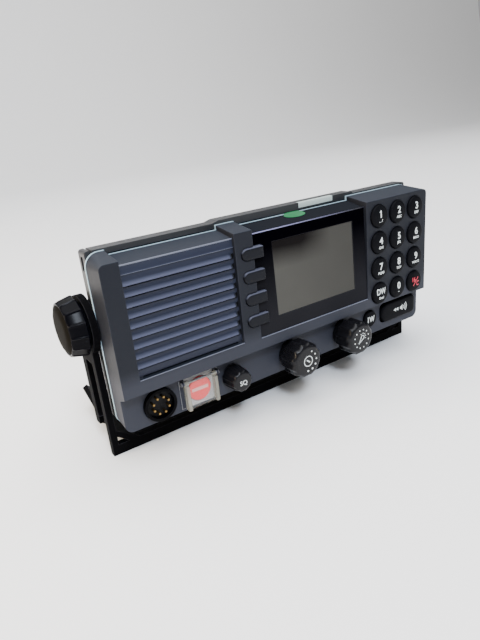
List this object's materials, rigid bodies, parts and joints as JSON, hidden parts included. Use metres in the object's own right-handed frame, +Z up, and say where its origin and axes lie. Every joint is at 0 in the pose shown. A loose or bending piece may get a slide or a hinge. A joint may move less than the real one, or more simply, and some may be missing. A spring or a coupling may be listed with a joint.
{
  "type": "vhf marine radio",
  "caption": "Fixed-mount marine radio with louvred speaker front, display, keypad and knobs, on a tilting bracket with clamp knobs.",
  "frame": {"origin": "centre of the bracket's four mounting holes, on the surface that the bracket stands on", "axes": "+X to the right seen from the front, +Z up, the front panel looks along -Y"},
  "size_m": [0.2362, 0.1001, 0.1052],
  "materials": {
    "bracket_plastic": "fine satin grain",
    "panel_plastic": "satin moulded grain",
    "bezel_plastic": "gloss",
    "window_glass": "gloss, dark",
    "key_rubber": "soft gloss",
    "knob_plastic": "satin",
    "clamp_plastic": "gloss",
    "steel": "satin",
    "brass_parts": "satin",
    "contact_gold": "bright",
    "gasket_rubber": "matte",
    "housing_metal": "black powder coat",
    "board": "solder mask",
    "can_metal": "tinned",
    "chip_plastic": "matte",
    "cloth": "woven",
    "cone_paper": "pressed paper",
    "speaker_metal": "matte",
    "distress_red": "gloss",
    "clear_plastic": "clear, gloss",
    "surround_plastic": "satin",
    "shell_metal": "satin",
    "insert_plastic": "matte",
    "washer_nylon": "satin"
  },
  "bodies": {
    "bracket": {"mounting_bracket": "bracket_plastic"},
    "radio": {"front_panel": "panel_plastic", "display_bezel": "bezel_plastic", "display_glass": "window_glass", "display_module": "can_metal", "volume_encoder": "chip_plastic", "channel_encoder": "chip_plastic", "squelch_control": "chip_plastic", "handset_socket": "shell_metal", "socket_insert": "insert_plastic", "socket_pins": "contact_gold", "distress_surround": "surround_plastic", "lid_hinge_pin": "steel", "grille_cloth": "cloth", "speaker_frame": "speaker_metal", "speaker_cone": "cone_paper", "keypad_board": "board", "panel_gasket": "gasket_rubber", "rear_housing": "housing_metal", "main_board": "board", "rf_shield": "can_metal", "power_amplifier": "chip_plastic", "antenna_connector": "brass_parts", "power_connector": "insert_plastic", "accessory_connector": "can_metal", "ground_stud": "brass_parts", "housing_screws": "steel", "friction_washers": "washer_nylon", "pivot_inserts": "brass_parts"},
    "left_clamp": {"left_clamp_knob": "clamp_plastic", "left_clamp_stud": "steel"},
    "right_clamp": {"right_clamp_knob": "clamp_plastic", "right_clamp_stud": "steel"},
    "volume_shaft": {"volume_shaft": "steel"},
    "volume_knob": {"volume_knob": "knob_plastic"},
    "channel_shaft": {"channel_shaft": "steel"},
    "channel_knob": {"channel_knob": "knob_plastic"},
    "squelch_knob": {"squelch_knob": "knob_plastic", "squelch_shaft": "steel"},
    "distress_lid": {"distress_lid": "clear_plastic"},
    "distress_button": {"distress_button": "distress_red"},
    "key_1": {"key_1": "key_rubber"},
    "key_2": {"key_2": "key_rubber"},
    "key_3": {"key_3": "key_rubber"},
    "key_4": {"key_4": "key_rubber"},
    "key_5": {"key_5": "key_rubber"},
    "key_6": {"key_6": "key_rubber"},
    "key_7": {"key_7": "key_rubber"},
    "key_8": {"key_8": "key_rubber"},
    "key_9": {"key_9": "key_rubber"},
    "key_watch": {"key_watch": "key_rubber"},
    "key_0": {"key_0": "key_rubber"},
    "key_call": {"key_call": "key_rubber"},
    "low_power_key": {"low_power_key": "key_rubber"},
    "replay_key": {"replay_key": "key_rubber"},
    "soft_key_1": {"soft_key_1": "key_rubber"},
    "soft_key_2": {"soft_key_2": "key_rubber"},
    "soft_key_3": {"soft_key_3": "key_rubber"},
    "soft_key_4": {"soft_key_4": "key_rubber"}
  },
  "joints": [
    {"name": "tilt", "type": "hinge", "parent": "bracket", "child": "radio", "pos_m": [0, -0.0238, 0.0692], "axis": [1, 0, 0], "range_deg": [-30, 20]},
    {"name": "left_clamp_turn", "type": "hinge", "parent": "radio", "child": "left_clamp", "pos_m": [-0.11, -0.0238, 0.0692], "axis": [-1, 0, 0], "range_deg": [0, 360]},
    {"name": "right_clamp_turn", "type": "hinge", "parent": "radio", "child": "right_clamp", "pos_m": [0.11, -0.0238, 0.0692], "axis": [1, 0, 0], "range_deg": [0, 360]},
    {"name": "volume_press", "type": "slide", "parent": "radio", "child": "volume_shaft", "axis": [0, 1, 0], "range_m": [0, 0.0006], "stiffness_N_per_m": 2500},
    {"name": "volume_turn", "type": "hinge", "parent": "volume_shaft", "child": "volume_knob", "pos_m": [-0.0047, -0.0511, 0.0273], "axis": [0, 1, 0], "continuous": true},
    {"name": "channel_press", "type": "slide", "parent": "radio", "child": "channel_shaft", "axis": [0, 1, 0], "range_m": [0, 0.0006], "stiffness_N_per_m": 2500},
    {"name": "channel_turn", "type": "hinge", "parent": "channel_shaft", "child": "channel_knob", "pos_m": [0.0353, -0.0511, 0.0273], "axis": [0, 1, 0], "continuous": true},
    {"name": "squelch_turn", "type": "hinge", "parent": "radio", "child": "squelch_knob", "pos_m": [-0.0428, -0.0511, 0.0273], "axis": [0, 1, 0], "range_deg": [-150, 150]},
    {"name": "distress_lid_open", "type": "hinge", "parent": "radio", "child": "distress_lid", "pos_m": [-0.0623, -0.0471, 0.0334], "axis": [-1, 0, 0], "range_deg": [0, 105], "stiffness_Nm_per_rad": 0.002},
    {"name": "distress_press", "type": "slide", "parent": "radio", "child": "distress_button", "axis": [0, 1, 0], "range_m": [0, 0.0009], "stiffness_N_per_m": 1500},
    {"name": "key_1_press", "type": "slide", "parent": "radio", "child": "key_1", "axis": [0, 1, 0], "range_m": [0, 0.0009], "stiffness_N_per_m": 1200},
    {"name": "key_2_press", "type": "slide", "parent": "radio", "child": "key_2", "axis": [0, 1, 0], "range_m": [0, 0.0009], "stiffness_N_per_m": 1200},
    {"name": "key_3_press", "type": "slide", "parent": "radio", "child": "key_3", "axis": [0, 1, 0], "range_m": [0, 0.0009], "stiffness_N_per_m": 1200},
    {"name": "key_4_press", "type": "slide", "parent": "radio", "child": "key_4", "axis": [0, 1, 0], "range_m": [0, 0.0009], "stiffness_N_per_m": 1200},
    {"name": "key_5_press", "type": "slide", "parent": "radio", "child": "key_5", "axis": [0, 1, 0], "range_m": [0, 0.0009], "stiffness_N_per_m": 1200},
    {"name": "key_6_press", "type": "slide", "parent": "radio", "child": "key_6", "axis": [0, 1, 0], "range_m": [0, 0.0009], "stiffness_N_per_m": 1200},
    {"name": "key_7_press", "type": "slide", "parent": "radio", "child": "key_7", "axis": [0, 1, 0], "range_m": [0, 0.0009], "stiffness_N_per_m": 1200},
    {"name": "key_8_press", "type": "slide", "parent": "radio", "child": "key_8", "axis": [0, 1, 0], "range_m": [0, 0.0009], "stiffness_N_per_m": 1200},
    {"name": "key_9_press", "type": "slide", "parent": "radio", "child": "key_9", "axis": [0, 1, 0], "range_m": [0, 0.0009], "stiffness_N_per_m": 1200},
    {"name": "key_watch_press", "type": "slide", "parent": "radio", "child": "key_watch", "axis": [0, 1, 0], "range_m": [0, 0.0009], "stiffness_N_per_m": 1200},
    {"name": "key_0_press", "type": "slide", "parent": "radio", "child": "key_0", "axis": [0, 1, 0], "range_m": [0, 0.0009], "stiffness_N_per_m": 1200},
    {"name": "key_call_press", "type": "slide", "parent": "radio", "child": "key_call", "axis": [0, 1, 0], "range_m": [0, 0.0009], "stiffness_N_per_m": 1200},
    {"name": "low_power_key_press", "type": "slide", "parent": "radio", "child": "low_power_key", "axis": [0, 1, 0], "range_m": [0, 0.0009], "stiffness_N_per_m": 1200},
    {"name": "replay_key_press", "type": "slide", "parent": "radio", "child": "replay_key", "axis": [0, 1, 0], "range_m": [0, 0.0009], "stiffness_N_per_m": 1200},
    {"name": "soft_key_1_press", "type": "slide", "parent": "radio", "child": "soft_key_1", "axis": [0, 1, 0], "range_m": [0, 0.0009], "stiffness_N_per_m": 1200},
    {"name": "soft_key_2_press", "type": "slide", "parent": "radio", "child": "soft_key_2", "axis": [0, 1, 0], "range_m": [0, 0.0009], "stiffness_N_per_m": 1200},
    {"name": "soft_key_3_press", "type": "slide", "parent": "radio", "child": "soft_key_3", "axis": [0, 1, 0], "range_m": [0, 0.0009], "stiffness_N_per_m": 1200},
    {"name": "soft_key_4_press", "type": "slide", "parent": "radio", "child": "soft_key_4", "axis": [0, 1, 0], "range_m": [0, 0.0009], "stiffness_N_per_m": 1200}
  ]
}
